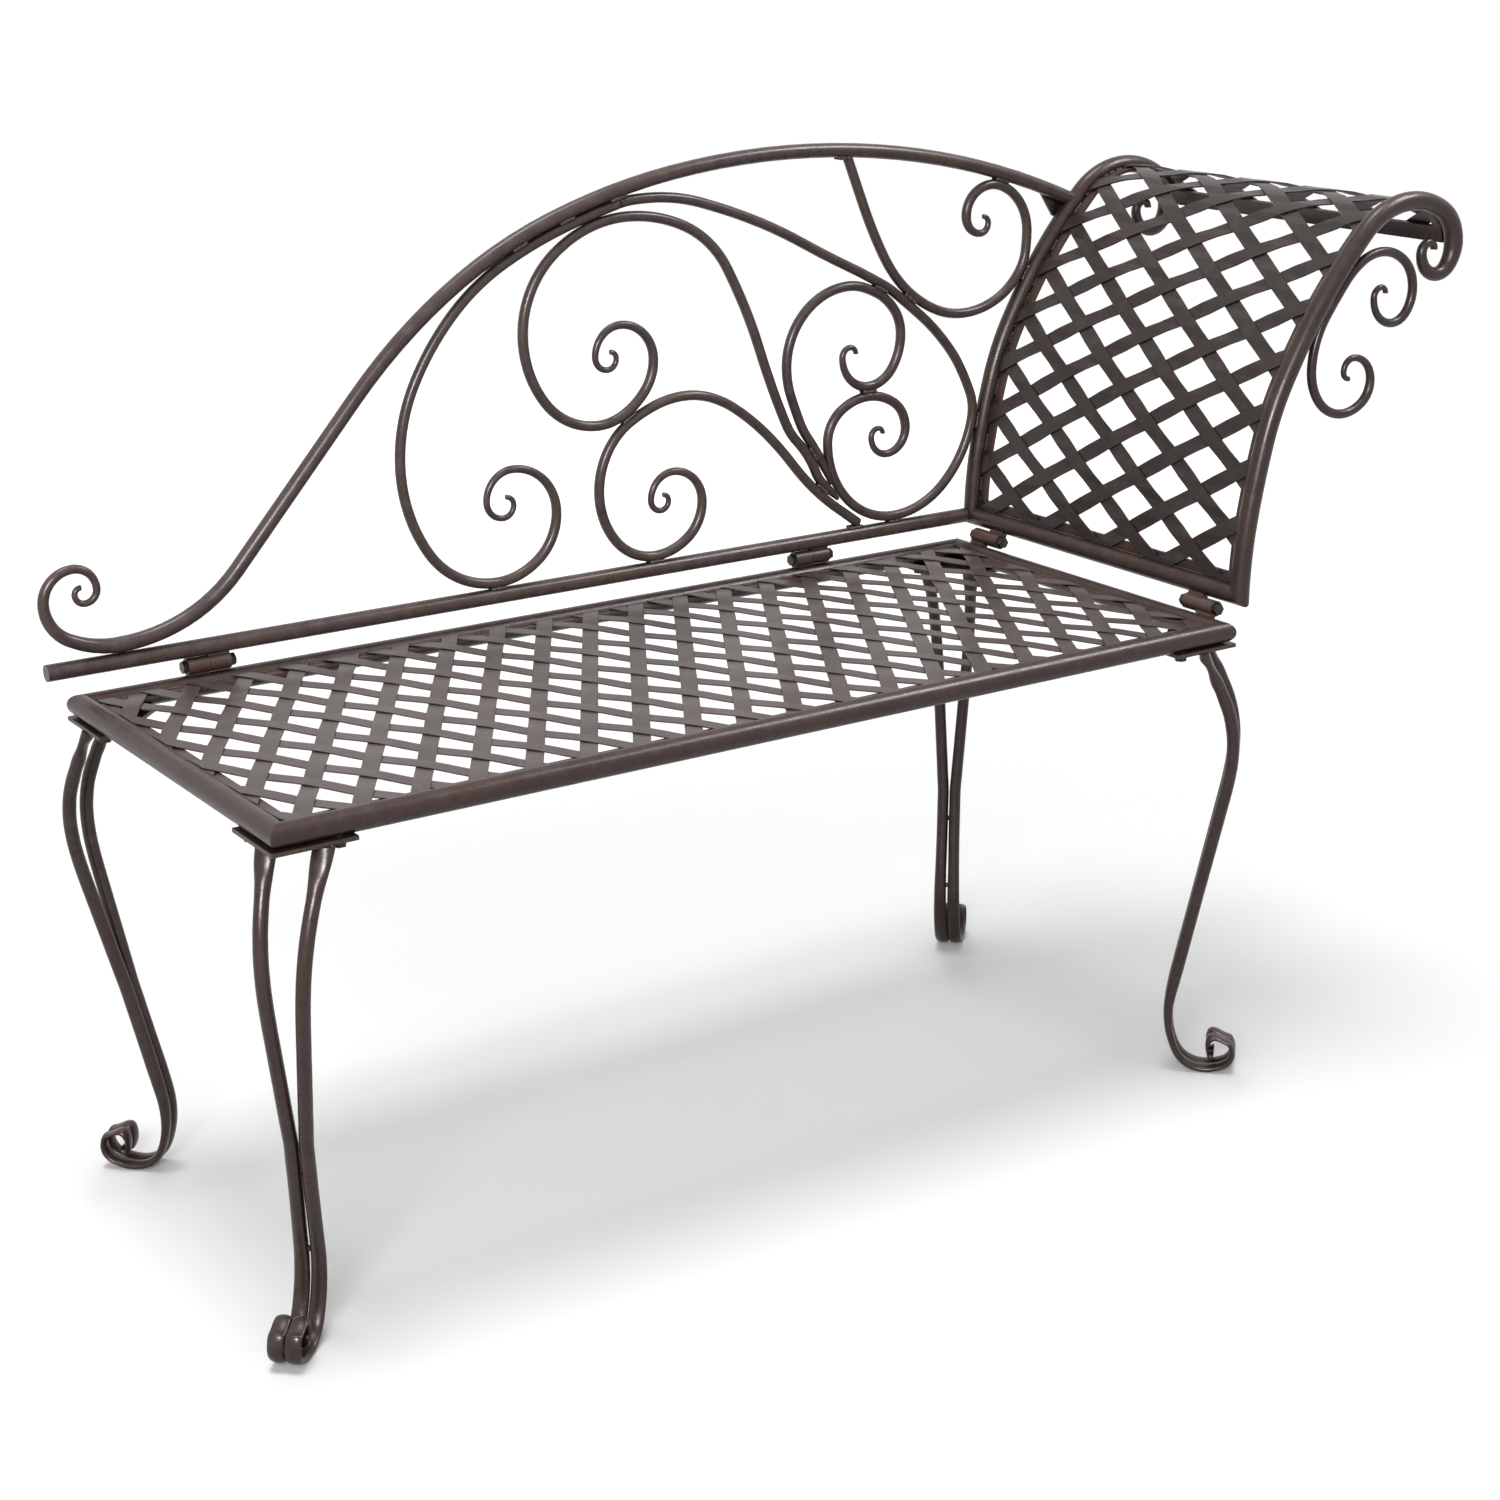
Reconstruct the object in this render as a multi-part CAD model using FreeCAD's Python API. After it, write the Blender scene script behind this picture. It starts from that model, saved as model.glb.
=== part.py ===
import FreeCAD
import Part
import math
import os

# A garden chaise longue of painted steel: a woven-strip seat on a tube frame, a scrolled backrest along
# the rear side, a woven headrest that rolls over at the right end, and four scrolled legs.
# Millimetres. X runs along the seat towards the headrest, Y from front to rear, Z up, floor at Z = 0.

V = FreeCAD.Vector

# Seat frame: round tubes with mitred corners
seat_length = 955.0        # between the centre lines of the end rails
seat_depth = 398.0         # between the centre lines of the long rails
seat_height = 444.0        # floor to the centre lines of the rails
seat_tube = 20.0           # outer diameter
tube_wall = 1.5
weld_gap = 0.2             # left between pieces that are welded together

# Flat border bars that carry the woven strips
border_width = 10.0
border_thickness = 3.0
seat_border_rise = 1.0     # underside above the centre lines of the seat's tubes
head_border_rise = -5.5    # the same on the headrest, towards the seat

# Woven flat strips
strip_width = 15.0
strip_thickness = 1.5
strip_clearance = 0.1      # between two strips where they cross
seat_rising_angle = 59.0   # from the long rails
seat_rising_pitch = 43.3   # from strip to strip, square to them
seat_rising_first = 13.3   # a strip's place on the seat's middle line
seat_falling_angle = 120.5
seat_falling_pitch = 37.1
seat_falling_first = 36.2
head_pitch_along = 53.1    # from strip to strip up the headrest
head_pitch_across = 89.2   # from strip to strip across the headrest
head_first_along = 5.6     # a crossing's place above the bottom rail
head_first_across = 3.8    # and from the middle of the headrest
head_strip_lift = 0.2      # keeps the bent strips off their border bars
weave_flat = 1 / 3         # share of the way to the next crossing over which a strip lies level
head_strip_sections = 12   # drawn in each head_pitch_along of a bent strip

# Backrest
back_tube = 15.0           # bottom rail
arch_tube = 14.0
scroll_rod = 10.0
scroll_tip = 5.0           # diameter at the end of a curl
back_lift = 33.2           # bottom rail above the seat rails, centre to centre
back_overhang = 28.1       # bottom rail past the left seat rail
back_rise = 387.0          # top of the arch above the bottom rail, centre lines
back_drawing = (994.4, 387.0)      # length and rise that the scrolls are drawn for

# Headrest
head_tube = 18.0
head_tip = 7.0             # diameter at the end of the side rails' curls
head_lift = 32.0           # bottom rail above the seat rails, centre to centre
head_offset = 20.5         # bottom rail past the right seat rail, centre to centre
head_rise = 349.0          # top of the roll above the bottom rail, centre lines
head_reach = 255.5         # outermost point of the roll past the bottom rail, centre lines
head_drawing = (255.5, 349.0)      # reach and rise that the profile is drawn for
top_bar_width = 18.0
bracket_rod = 9.0
bracket_taper = 75.0       # length of the taper at the end of its curls

# Knuckles: coaxial barrels with a bolt through them
knuckle_diameter = 15.0
knuckle_length = 20.0
knuckle_play = 0.3         # between the two barrels of a pair
web_width = 7.0
back_knuckle_inset_left = 145.6    # middle of the pair from the left end of the backrest's rail
back_knuckle_inset_right = 198.9   # middle of the pair from the right end of the backrest's rail
head_knuckle_inset = 40.0          # middle of the pair from the side rails of the headrest

# Tie between the end of the arch and the headrest
tie_plate_thickness = 3.0
tie_bolt_height = 309.0    # above the bottom rail of the headrest
tie_plate_reach = 42.0     # along the arch from its end
tie_plate_edge = ((-14.0, -8.0), (2.0, -10.0), (9.0, 3.0), (3.0, 12.0))   # corners round the bolt

# Fasteners
bolt_diameter = 6.0
bolt_clearance = 0.4       # on the diameter of a hole
hex_across_flats = 10.0
hex_head_height = 4.0
nut_height = 5.0
washer_diameter = 12.0
washer_thickness = 1.2
rivet_nut_diameter = 9.0
rivet_nut_length = 11.0
bolt_past_nut = 1.0

# Legs
plate_arm = 62.0           # from the corner of the centre lines to the end of each arm
plate_thickness = 3.5
leg_bolt_inset = 50.0      # from the corner of the centre lines
leg_rod = 12.0
leg_drawing = 430.0        # height that the profile is drawn for
leg_sections = 44          # drawn along a rod
leg_top_spread = 23.0      # half the distance between the two rods of a leg, at the plate
leg_waist_spread = 6.4     # the same where the rods almost meet
leg_waist_height = 180.0   # above this the rods spread towards the plate
leg_part_height = 148.0    # below this they part again
ankle_height = 60.0        # below this they are flat and parallel
leg_top_thickness = 8.0    # of the rod flattened at the plate
leg_top_width = 18.0
leg_top_flat = (4.0, 45.0) # distances along the rod over which that flat turns round
foot_fade = (50.0, 40.0)   # before and after the ankle, where the round rod turns flat
foot_width = 14.0          # of the flattened rod
foot_thickness = 7.0
foot_tip_thickness = 4.5
foot_low = 2.0             # lowest point of the foot, outward from the corner
foot_flat = 0.4            # worn off the underside of each foot
# The legs are bent by hand: each one's place along the rail from its corner, and its foot's shift
# outward and sideways
leg_bends = {
    "front_left": (8.0, 0.0, -20.0),
    "front_right": (0.0, 0.0, 0.0),
    "rear_left": (0.0, -11.0, -15.0),
    "rear_right": (8.0, 8.0, -5.0),
}
peg_diameter = 5.0
peg_heights = (150.0, 78.0)

# Derived places
seat_r = seat_tube / 2
back_r = back_tube / 2
arch_r = arch_tube / 2
rod_r = scroll_rod / 2
head_r = head_tube / 2
bracket_r = bracket_rod / 2
end_x = seat_length / 2
side_y = seat_depth / 2
back_y = side_y + seat_r - back_r
back_z = seat_height + back_lift
head_y = side_y + seat_r - head_r
head_x = end_x + head_offset
head_z = seat_height + head_lift
back_left = -end_x - back_overhang
back_right = head_x - head_r - weld_gap
border_inset = seat_r + weld_gap
strip_rise = border_thickness + strip_thickness + strip_clearance / 2

nodes = {}


class Path:
    """A plane curve of tangent arcs and straight runs, built from one heading point to the next."""

    def __init__(self, x, z, heading):
        self.start = (x, z, math.radians(heading))
        self.runs = []

    @property
    def length(self):
        return sum(length for length, bend in self.runs)

    def pose(self, distance):
        """Place and heading at a distance along the curve."""
        x, z, heading = self.start
        left = distance
        for length, bend in self.runs:
            step = min(left, length)
            x, z, heading = run_end(x, z, heading, step, bend)
            left -= step
            if left <= 0:
                break
        return x, z, heading

    def add_chord(self, x1, z1):
        x0, z0, heading = self.pose(self.length)
        chord = math.hypot(x1 - x0, z1 - z0)
        turn = 2 * wrap(math.atan2(z1 - z0, x1 - x0) - heading)
        if abs(turn) < 1e-5:
            self.runs.append((chord, 0.0))
        else:
            length = chord * (turn / 2) / math.sin(turn / 2)
            self.runs.append((length, turn / length))

    def to(self, x1, z1, heading):
        """Two tangent arcs to the next point, with a heading in degrees there."""
        x0, z0, h0 = self.pose(self.length)
        h1 = math.radians(heading)
        t0 = V(math.cos(h0), math.sin(h0), 0)
        t1 = V(math.cos(h1), math.sin(h1), 0)
        span = V(x1 - x0, z1 - z0, 0)
        a = 2 * (1 - t0.dot(t1))
        b = 2 * span.dot(t0 + t1)
        c = span.dot(span)
        reach = c / b if a < 1e-6 else (-b + math.sqrt(b * b + 4 * a * c)) / (2 * a)
        middle = (V(x0, z0, 0) + V(x1, z1, 0) + (t0 - t1) * reach) * 0.5
        self.add_chord(middle.x, middle.y)
        self.add_chord(x1, z1)
        return self

    def curl(self, side, *radii):
        """A spiral of quarter turns with given radii. Side is 1 to the left, -1 to the right."""
        for radius in radii:
            self.runs.append((radius * math.pi / 2, side / radius))
        return self

    def edges(self, place, start, end, offset=0.0):
        """The curve between two distances, moved sideways to its left by an offset."""
        made = []
        done = 0.0
        for length, bend in self.runs:
            first = max(start, done)
            last = min(end, done + length)
            done += length
            if last - first < 1e-6:
                continue
            points = [place(*self.beside(at, offset)[:2]) for at in (first, (first + last) / 2, last)]
            if abs(bend) < 1e-9:
                made.append(Part.LineSegment(points[0], points[2]).toShape())
            else:
                made.append(Part.Arc(*points).toShape())
        return made

    def beside(self, distance, offset):
        """A point to the left of the curve, with the curve's heading in degrees."""
        x, z, heading = self.pose(distance)
        return x - math.sin(heading) * offset, z + math.cos(heading) * offset, math.degrees(heading)

    def where(self, wanted, axis, start=0.0):
        """The first distance after start at which the curve passes a given x (axis 0) or z (axis 1)."""
        step = 1.0
        before = start
        side = self.pose(before)[axis] - wanted
        while (self.pose(before + step)[axis] - wanted) * side > 0 and before < self.length:
            before += step
        low, high = before, before + step
        for halving in range(40):
            middle = (low + high) / 2
            if (self.pose(middle)[axis] - wanted) * side > 0:
                low = middle
            else:
                high = middle
        return low


def run_end(x, z, heading, length, bend):
    if abs(bend) < 1e-9:
        return x + math.cos(heading) * length, z + math.sin(heading) * length, heading
    after = heading + bend * length
    return (x + (math.sin(after) - math.sin(heading)) / bend,
            z - (math.cos(after) - math.cos(heading)) / bend, after)


def wrap(angle):
    return (angle + math.pi) % (2 * math.pi) - math.pi


def stretched(heading, stretch_x, stretch_z):
    """A heading in degrees on a drawing, after the drawing is stretched."""
    angle = math.radians(heading)
    return math.degrees(math.atan2(math.sin(angle) * stretch_z, math.cos(angle) * stretch_x))


def on_plane(y):
    """Puts a drawing in X and Z at a depth Y."""
    return lambda x, z: V(x, y, z)


def ring(path, place, distance, radius):
    """A circle square to the curve."""
    x, z, heading = path.pose(distance)
    forward = place(x + math.cos(heading), z + math.sin(heading)) - place(x, z)
    return Part.Wire(Part.Circle(place(x, z), forward, radius).toShape())


def pipe(path, place, start, end, radius, end_radius=None):
    """A round bar along a stretch of the curve, tapered if a second radius is given."""
    spine = Part.Wire(path.edges(place, start, end))
    sweep = Part.BRepOffsetAPI.MakePipeShell(spine)
    sweep.add(ring(path, place, start, radius))
    if end_radius is not None:
        sweep.add(ring(path, place, end, end_radius))
    sweep.build()
    sweep.makeSolid()
    return sweep.shape()


def curled_bar(path, place, radius, taper_from, tip_radius):
    """A round bar that tapers along its last stretch."""
    body = pipe(path, place, 0.0, taper_from, radius)
    curl = pipe(path, place, taper_from, path.length, radius, tip_radius)
    return body.fuse(curl)


def bar(start, end, radius):
    return Part.makeCylinder(radius, (end - start).Length, start, end - start)


def tube(start, end, radius, end_wall=0.0):
    """A straight tube, closed at its ends if they have a wall."""
    along = (end - start).normalize()
    bore = bar(start + along * end_wall, end - along * end_wall, radius - tube_wall)
    return bar(start, end, radius).cut(bore)


def block(low, high):
    """A box between two corners."""
    return Part.makeBox(high.x - low.x, high.y - low.y, high.z - low.z, low)


def half_space(point, away, size=4000.0):
    """A large box that fills the side of a plane that a direction points to."""
    box = Part.makeBox(size, size, size, V(-size / 2, -size / 2, 0))
    box.Placement = FreeCAD.Placement(point, FreeCAD.Rotation(V(0, 0, 1), away))
    return box


def one_solid(shape):
    """The single solid of a finished piece."""
    return shape.removeSplitter().Solids[0]


def hexagon(base, along, height):
    """A hexagonal prism, for bolt heads and nuts."""
    corner_radius = hex_across_flats / math.sqrt(3)
    points = []
    for corner in range(7):
        angle = math.radians(60 * corner)
        points.append(V(corner_radius * math.cos(angle), corner_radius * math.sin(angle), 0))
    prism = Part.Face(Part.makePolygon(points)).extrude(V(0, 0, height))
    prism.Placement = FreeCAD.Placement(base, FreeCAD.Rotation(V(0, 0, 1), along))
    return prism


def bolt(base, along, shank):
    """A hexagon bolt. Base is the underside of its head, and the shank runs along."""
    return hexagon(base - along * hex_head_height, along, hex_head_height).fuse(
        bar(base, base + along * shank, bolt_diameter / 2))


def nut(base, along):
    bore = bar(base, base + along * nut_height, (bolt_diameter + bolt_clearance) / 2)
    return hexagon(base, along, nut_height).cut(bore)


def rivet_nut(base, along):
    """A threaded sleeve set in the wall of a tube."""
    end = base + along * rivet_nut_length
    bore = bar(base, end, (bolt_diameter + bolt_clearance) / 2)
    return bar(base, end, rivet_nut_diameter / 2).cut(bore)


def weave(step):
    """Height of a strip, from -1 to 1, at a number of crossings along it."""
    phase = abs((step + 1) % 2 - 1)
    return max(-1.0, min(1.0, (0.5 - phase) / (0.5 - weave_flat)))


weave_lift = (strip_thickness + strip_clearance) / 2


# Seat

def seat_rail(start, end, inward):
    """A tube with both ends mitred, open for the rivet nuts of the leg bolts."""
    along = (end - start).normalize()
    rail = tube(start - along * seat_tube, end + along * seat_tube, seat_r)
    rail = rail.cut(half_space(start, inward - along))
    rail = rail.cut(half_space(end, inward + along))
    for point in (start + along * leg_bolt_inset, end - along * leg_bolt_inset):
        hole = bar(point - V(0, 0, seat_tube), point, (rivet_nut_diameter + weld_gap) / 2)
        rail = rail.cut(hole)
    return rail


def seat_frame():
    corners = {}
    for side, x in (("left", -end_x), ("right", end_x)):
        for face, y in (("front", -side_y), ("rear", side_y)):
            corners[side, face] = V(x, y, seat_height)
    nodes["seat_front_rail"] = seat_rail(corners["left", "front"], corners["right", "front"], V(0, 1, 0))
    nodes["seat_rear_rail"] = seat_rail(corners["left", "rear"], corners["right", "rear"], V(0, -1, 0))
    nodes["seat_left_rail"] = seat_rail(corners["left", "front"], corners["left", "rear"], V(1, 0, 0))
    nodes["seat_right_rail"] = seat_rail(corners["right", "front"], corners["right", "rear"], V(-1, 0, 0))


def seat_border():
    low = seat_height + seat_border_rise
    high = low + border_thickness
    outer_x = end_x - border_inset
    outer_y = side_y - border_inset
    inner_x = outer_x - border_width
    inner_y = outer_y - border_width
    nodes["seat_front_border"] = block(V(-outer_x, -outer_y, low), V(outer_x, -inner_y, high))
    nodes["seat_rear_border"] = block(V(-outer_x, inner_y, low), V(outer_x, outer_y, high))
    nodes["seat_left_border"] = block(V(-outer_x, -inner_y, low), V(-inner_x, inner_y, high))
    nodes["seat_right_border"] = block(V(inner_x, -inner_y, low), V(outer_x, inner_y, high))


def seat_lines(angle):
    """Direction of a family of strips, and the direction square to it."""
    along = V(math.cos(math.radians(angle)), math.sin(math.radians(angle)), 0)
    return along, V(along.y, -along.x, 0)


def seat_strip(number, own, other, lift):
    """One strip of the seat, waved over and under the strips of the other family."""
    angle, pitch, first = own
    other_angle, other_pitch, other_first = other
    along, across = seat_lines(angle)
    other_along, other_across = seat_lines(other_angle)
    offset = number * pitch + first * across.x
    other_offset = other_first * other_across.x
    middle = across * offset + V(0, 0, seat_height + seat_border_rise + strip_rise)
    reach = int(seat_length / min(pitch, other_pitch))
    upper = []
    lower = []
    for crossing in range(-reach, reach + 1):
        for phase in (-weave_flat, weave_flat):
            target = (crossing + phase) * other_pitch + other_offset
            distance = (target - middle.dot(other_across)) / along.dot(other_across)
            height = lift * weave(number + crossing + phase) * weave_lift
            point = middle + along * distance - across * (strip_width / 2) + V(0, 0, height)
            upper.append(point + V(0, 0, strip_thickness / 2))
            lower.append(point - V(0, 0, strip_thickness / 2))
    outline = Part.makePolygon(upper + lower[::-1] + upper[:1])
    return Part.Face(outline).extrude(across * strip_width)


def seat_strips():
    opening = block(V(border_inset - end_x, border_inset - side_y, seat_height),
                    V(end_x - border_inset, side_y - border_inset, seat_height + seat_tube))
    rising = (seat_rising_angle, seat_rising_pitch, seat_rising_first)
    falling = (seat_falling_angle, seat_falling_pitch, seat_falling_first)
    last = int((seat_length + seat_depth) / min(seat_rising_pitch, seat_falling_pitch) / 2) + 1
    for name, own, other, lift in (("seat_strips_rising", rising, falling, 1),
                                   ("seat_strips_falling", falling, rising, -1)):
        strips = []
        for number in range(-last, last + 1):
            strips += seat_strip(number, own, other, lift).common(opening).Solids
        nodes[name] = Part.makeCompound(strips)


# Headrest

def head_point(x, z, heading):
    """A point of the headrest's drawing, from its bottom rail, stretched to size."""
    stretch_x = head_reach / head_drawing[0]
    stretch_z = head_rise / head_drawing[1]
    return head_x + x * stretch_x, head_z + z * stretch_z, stretched(heading, stretch_x, stretch_z)


def head_profile():
    """Centre line of a side rail, from the bottom rail up, over the roll and into its curl."""
    path = Path(*head_point(0, 0, 90))
    path.to(*head_point(21.7, 142, 75))
    path.to(*head_point(72.5, 247, 57))
    path.to(*head_point(135, 324, 46))
    path.to(*head_point(195, 349, 0))
    path.to(*head_point(255.5, 305, -90))
    path.to(*head_point(234, 278, 180))
    path.curl(-1, 21.0, 9.5, 7.0)
    return path


head_path = head_profile()
head_roll_top = head_path.where(head_point(195, 349, 0)[0], 0)
head_roll_end = head_path.where(head_point(255.5, 305, -90)[1], 1, head_roll_top)
head_start = head_r + weld_gap
head_inner_y = head_y - head_r - weld_gap


def head_rails():
    for name, side in (("head_front_rail", -1), ("head_rear_rail", 1)):
        y = side * head_y
        place = on_plane(y)
        foot = bar(V(head_x, y, head_z - head_tube), V(head_x, y, head_z), head_r)
        bore = bar(V(head_x, y, head_z - head_tube), V(head_x, y, head_z), head_r - tube_wall)
        rail = foot.fuse(pipe(head_path, place, 0.0, head_roll_end, head_r))
        rail = rail.cut(bore.fuse(pipe(head_path, place, 0.0, head_roll_end - tube_wall, head_r - tube_wall)))
        rail = rail.fuse(pipe(head_path, place, head_roll_end, head_path.length, head_r, head_tip / 2))
        rail = rail.cut(half_space(V(head_x, y, head_z), V(0, -side, -1)))
        if side > 0:
            rail = rail.cut(tie_bolt_hole())
        nodes[name] = one_solid(rail)
    bottom = tube(V(head_x, -head_y - head_tube, head_z), V(head_x, head_y + head_tube, head_z), head_r)
    for side in (-1, 1):
        bottom = bottom.cut(half_space(V(head_x, side * head_y, head_z), V(0, side, 1)))
    nodes["head_bottom_rail"] = bottom


def head_sheet(start, end, low, high, y0, y1):
    """A flat bar bent along the profile, between two distances, two heights and two depths."""
    place = on_plane(y0)
    under = head_path.edges(place, start, end, low)
    over = head_path.edges(place, start, end, high)
    ends = [Part.LineSegment(place(*head_path.beside(at, low)[:2]), place(*head_path.beside(at, high)[:2]))
            for at in (start, end)]
    outline = Part.Wire(Part.__sortEdges__(under + over + [line.toShape() for line in ends]))
    return Part.Face(outline).extrude(V(0, y1 - y0, 0))


def head_border():
    low = head_border_rise
    high = head_border_rise + border_thickness
    inner = head_inner_y - border_width
    last = head_roll_end - top_bar_width - weld_gap
    nodes["head_front_border"] = head_sheet(head_start, last, low, high, -head_inner_y, -inner)
    nodes["head_rear_border"] = head_sheet(head_start, last, low, high, inner, head_inner_y)
    bottom_end = head_start + border_width
    nodes["head_bottom_border"] = head_sheet(head_start, bottom_end, low, high, -inner, inner)
    nodes["head_top_bar"] = head_sheet(head_roll_end - top_bar_width, head_roll_end, low, high,
                                       -head_inner_y, head_inner_y)


def head_stations():
    """Distances along the profile at which the bent strips are drawn: a crossing falls on one of them."""
    grid = head_pitch_along / head_strip_sections
    close = grid / 5
    first = math.ceil((head_start + close - head_first_along) / grid)
    last = math.floor((head_roll_end - close - head_first_along) / grid)
    between_ends = [head_first_along + grid * number for number in range(first, last + 1)]
    return [head_start] + between_ends + [head_roll_end]


def head_strip(number, lean):
    """One strip of the headrest, laid on the curved profile and waved through the others."""
    half_across = strip_width / 2 * math.hypot(head_pitch_along, head_pitch_across) / head_pitch_along
    limit = head_inner_y + 2 * half_across
    sections = []
    for along in head_stations():
        step = 2 * (along - head_first_along) / head_pitch_along - number
        y = head_first_across + lean * (number - step) * head_pitch_across / 2
        if abs(y) > limit:
            continue
        level = head_border_rise + strip_rise + head_strip_lift + lean * weave(number + step) * weave_lift
        corners = []
        for side, rise in ((-1, -1), (1, -1), (1, 1), (-1, 1)):
            x, z, heading = head_path.beside(along, level + rise * strip_thickness / 2)
            corners.append(V(x, y + side * half_across, z))
        sections.append(Part.makePolygon(corners + corners[:1]))
    if len(sections) < 2:
        return []
    room = block(V(0, -head_inner_y, 0), V(2 * seat_length, head_inner_y, 4 * seat_height))
    return Part.makeLoft(sections, True, True).common(room).Solids


# Backrest

def back_point(u, w, heading):
    """A point of the scroll drawing, from the left end of the bottom rail, stretched to the panel."""
    stretch_x = (back_right - back_left) / back_drawing[0]
    stretch_z = back_rise / back_drawing[1]
    return back_left + u * stretch_x, back_z + w * stretch_z, stretched(heading, stretch_x, stretch_z)


def touching(u, w, heading, radius):
    """Two facing points, left and right of a line on the drawing, for rods that touch there."""
    x, z, turned = back_point(u, w, heading)
    away = radius + weld_gap / 2
    nx = -math.sin(math.radians(turned)) * away
    nz = math.cos(math.radians(turned)) * away
    return (x + nx, z + nz, turned), (x - nx, z - nz, turned)


def back_away(pose):
    """The same point, passed the other way."""
    return pose[0], pose[1], pose[2] + 180


def on_bottom_rail(u, radius, heading):
    """A point where a rod rests on the bottom rail, or where its square end stands on it at a slant."""
    height = back_r + weld_gap + radius * abs(math.cos(math.radians(heading)))
    return back_point(u, 0, heading)[0], back_z + height, heading


def arch_profile():
    """Centre line of the arch, from the place where it rests on the bottom rail to the headrest."""
    path = Path(*on_bottom_rail(66.5, arch_r, 0))
    path.to(*back_point(180.4, 64.7, 48.4))
    path.to(*back_point(301.8, 201.3, 48.4))
    path.to(*back_point(507, 343, 20))
    path.to(*back_point(772.3, 387, 0))
    path.to(*back_point(1128, 316.5, -22.5))
    return path


arch_path = arch_profile()


def under_arch(u, radius, heading_turn=0):
    """A point where a rod runs along the underside of the arch."""
    x, z, heading = arch_path.beside(arch_path.where(back_point(u, 0, 0)[0], 0), -arch_r - radius - weld_gap)
    return x, z, heading + heading_turn


def beside_head_rail(height, radius, side):
    """A point where a rod touches a side rail of the headrest. Side is 1 towards the seat, -1 outside."""
    at = head_path.where(head_point(0, height, 0)[1], 1)
    return head_path.beside(at, side * (head_r + radius + weld_gap))


def back_frame():
    place = on_plane(back_y)
    left_end = V(back_left, back_y, back_z)
    right_end = V(back_right, back_y, back_z)
    nodes["back_bottom_rail"] = tube(left_end, right_end, back_r, tube_wall)
    body = pipe(arch_path, place, 0.0, arch_path.length, arch_r)
    body = body.cut(pipe(arch_path, place, tube_wall, arch_path.length, arch_r - tube_wall))
    scroll = Path(*back_away(on_bottom_rail(66.5, arch_r, 0)))
    scroll.to(*back_point(3, 59, 90))
    scroll.curl(-1, 28.0, 20.0, 11.5, 8.5, 6.0)
    body = body.fuse(pipe(scroll, place, 0.0, scroll.length, arch_r, scroll_tip / 2))
    keep_clear = pipe(head_path, on_plane(head_y), 0.0, head_roll_end, head_r + weld_gap)
    nodes["back_arch"] = one_solid(max(body.cut(keep_clear).Solids, key=lambda solid: solid.Volume))


def scroll_node(name, path, taper):
    """A scroll rod in the plane of the backrest, tapered along the last stretch of its curl."""
    nodes[name] = one_solid(curled_bar(path, on_plane(back_y), rod_r, path.length - taper, scroll_tip / 2))


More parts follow.
